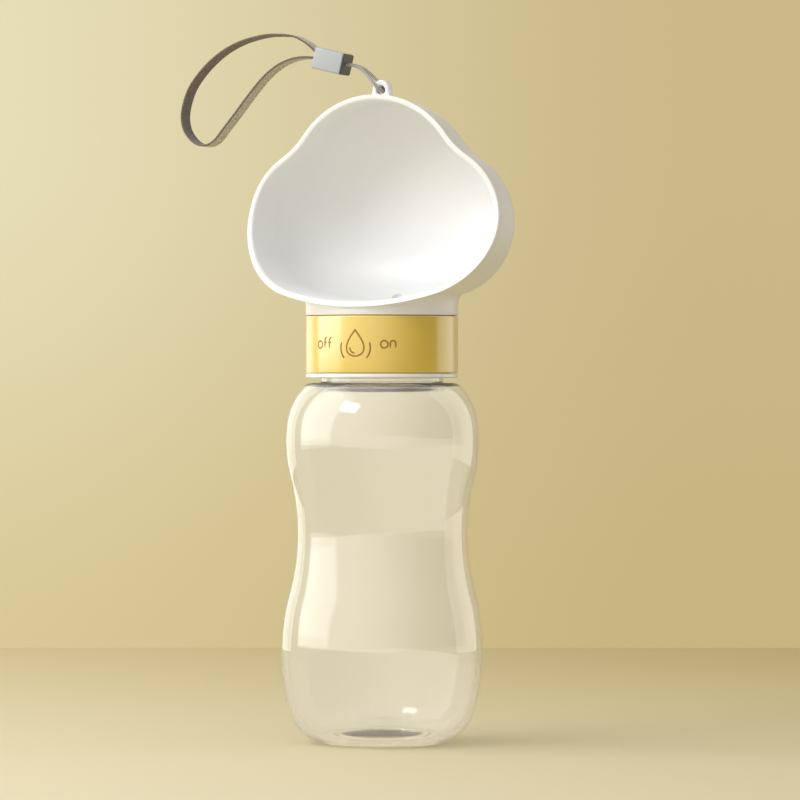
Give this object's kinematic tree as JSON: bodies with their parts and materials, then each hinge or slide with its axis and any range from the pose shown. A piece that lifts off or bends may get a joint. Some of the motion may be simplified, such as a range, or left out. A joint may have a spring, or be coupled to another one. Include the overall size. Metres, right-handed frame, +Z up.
{
  "type": "dog travel water bottle",
  "caption": "Clear travel water bottle with a screw cap, a turning on-off valve collar, a cloud-shaped drinking bowl on top and a wrist lanyard.",
  "frame": {"origin": "centre of the bottle's foot, on the surface it stands on", "axes": "+Z up along the bottle's axis, the bowl opens towards -Y, +X to the right of someone who faces the bowl"},
  "size_m": [0.1205, 0.07, 0.2466],
  "materials": {
    "clear_plastic": "clear, glossy, blow moulded",
    "white_plastic": "glossy moulded",
    "bowl_plastic": "satin-gloss moulded",
    "yellow_plastic": "glossy moulded",
    "silicone": "satin silicone",
    "seal_rubber": "matt rubber",
    "steel": "bright steel",
    "bead_plastic": "satin moulded",
    "core_plastic": "matt moulded",
    "cord": "braided thin cord",
    "webbing": "woven narrow webbing"
  },
  "bodies": {
    "bottle": {"bottle_body": "clear_plastic"},
    "gasket": {"neck_gasket": "silicone"},
    "head": {"valve_base": "white_plastic", "inlet_seal": "silicone", "skirt_o_ring": "seal_rubber", "centre_screw": "steel", "screw_washer": "silicone", "valve_seat": "white_plastic", "outlet_seal": "silicone", "seat_o_ring": "seal_rubber", "seat_gasket": "silicone", "outlet_duct": "white_plastic", "duct_o_ring": "seal_rubber", "drinking_bowl": "bowl_plastic", "bead_sleeve": "bead_plastic", "bead_core": "core_plastic", "lanyard_cord": "cord", "wrist_strap": "webbing"},
    "collar": {"collar_ring": "yellow_plastic", "valve_disc": "white_plastic", "post_o_ring": "seal_rubber"}
  },
  "joints": [
    {"name": "cap_lift", "type": "slide", "parent": "bottle", "child": "gasket", "axis": [0, 0, 1], "range_m": [0, 0.00801]},
    {"name": "cap_turn", "type": "hinge", "parent": "gasket", "child": "head", "pos_m": [0, 0, 0.139], "axis": [0, 0, 1], "range_deg": [0, 720]},
    {"name": "collar_turn", "type": "hinge", "parent": "head", "child": "collar", "pos_m": [0, 0, 0.1438], "axis": [0, 0, 1], "range_deg": [-26, 26]}
  ],
  "couplings": [
    {"joint": "cap_lift", "follows": "cap_turn", "m_per_rad": 0.00063662}
  ]
}
